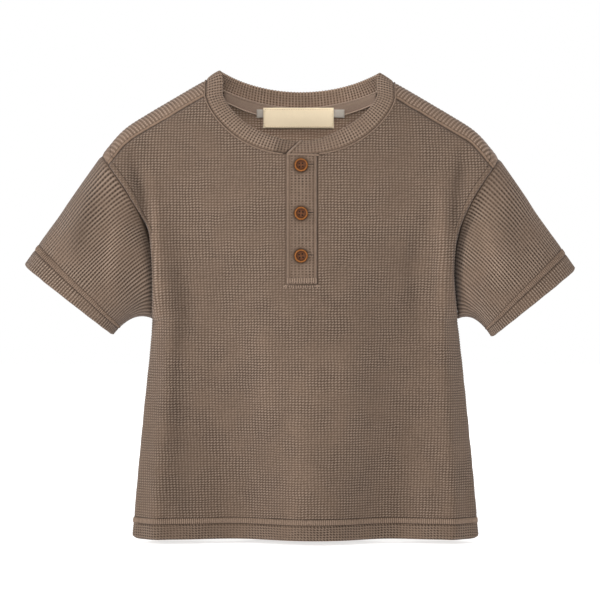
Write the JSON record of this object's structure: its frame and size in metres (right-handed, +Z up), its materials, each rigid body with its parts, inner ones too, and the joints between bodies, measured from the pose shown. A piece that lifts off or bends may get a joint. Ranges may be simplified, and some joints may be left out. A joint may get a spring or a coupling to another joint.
{
  "type": "henley shirt",
  "caption": "Child's short-sleeved henley in waffle knit, filled out as worn, with a round neckband, a buttoned placket, dropped sleeves and an A-line body.",
  "frame": {"origin": "between the two neck points, at the height of the shoulder ridge beside the neckband, in the middle of its depth: where shoulders carry the shirt", "axes": "+X to the viewer's right across the sleeves, -Y the front with the placket, +Z up"},
  "size_m": [0.4682, 0.0962, 0.3964],
  "materials": {
    "waffle_knit": "matt waffle knit",
    "neckband_knit": "matt waffle knit, folded double",
    "neck_tape": "matt flat tape",
    "size_tab_grey": "matt woven tab",
    "label_cream": "matt woven label, bare",
    "button_brown": "satin"
  },
  "bodies": {
    "root": {"front_panel": "waffle_knit", "back_panel": "waffle_knit", "sleeve_left": "waffle_knit", "sleeve_right": "waffle_knit", "neckband": "neckband_knit", "placket_over": "waffle_knit", "placket_under": "waffle_knit", "neck_tape": "neck_tape", "size_tab": "size_tab_grey", "label": "label_cream", "button_1": "button_brown", "button_2": "button_brown", "button_3": "button_brown"}
  },
  "joints": []
}
